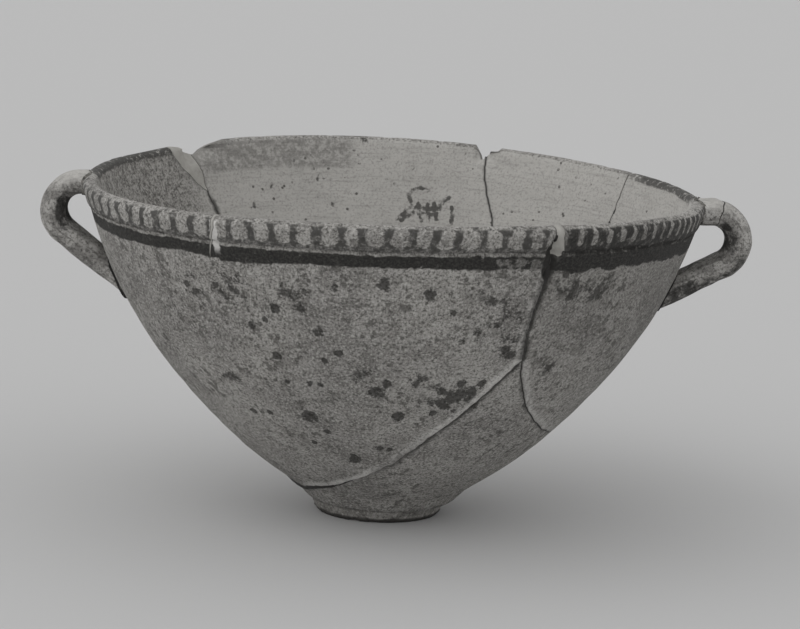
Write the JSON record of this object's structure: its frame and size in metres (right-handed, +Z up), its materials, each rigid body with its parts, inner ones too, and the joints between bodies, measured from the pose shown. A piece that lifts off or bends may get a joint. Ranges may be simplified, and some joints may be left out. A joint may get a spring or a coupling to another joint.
{
  "type": "two-handled drinking cup",
  "caption": "Deep conical clay drinking cup on a small flat foot, with strap handles at the rim, broken and stuck together again.",
  "frame": {"origin": "middle of the foot's flat underside, on the cup's axis", "axes": "+Z up along the cup's axis, +X through the right handle, -Y towards the viewer"},
  "size_m": [0.2287, 0.1992, 0.1076],
  "materials": {
    "fired_clay": "matt, wheel marked, painted dark at the rim and worn",
    "foot_clay": "matt, worn at the edge",
    "handle_clay": "matt, with mottled dark paint",
    "luting_slip": "matt, darkened",
    "plaster_fill": "matt",
    "old_adhesive": "dull, darkened with dirt"
  },
  "bodies": {
    "root": {"base_sherd": "fired_clay", "left_sherd": "fired_clay", "right_sherd": "fired_clay", "rear_centre_sherd": "fired_clay", "rear_right_sherd": "fired_clay", "foot": "foot_clay", "left_handle": "handle_clay", "right_handle_root": "handle_clay", "right_handle_loop": "handle_clay", "left_handle_rim_slip": "luting_slip", "left_handle_wall_slip": "luting_slip", "right_handle_rim_slip": "luting_slip", "right_handle_wall_slip": "luting_slip", "rear_left_fill": "plaster_fill", "collar_splinter_fill": "plaster_fill", "rim_crack_fill": "plaster_fill", "front_join": "old_adhesive", "inner_right_join": "old_adhesive", "rear_right_join": "old_adhesive", "rear_left_join": "old_adhesive", "lower_right_join": "old_adhesive", "rear_corner_join": "old_adhesive", "lower_rear_join": "old_adhesive", "diagonal_join": "old_adhesive", "right_handle_join": "old_adhesive"}
  },
  "joints": []
}
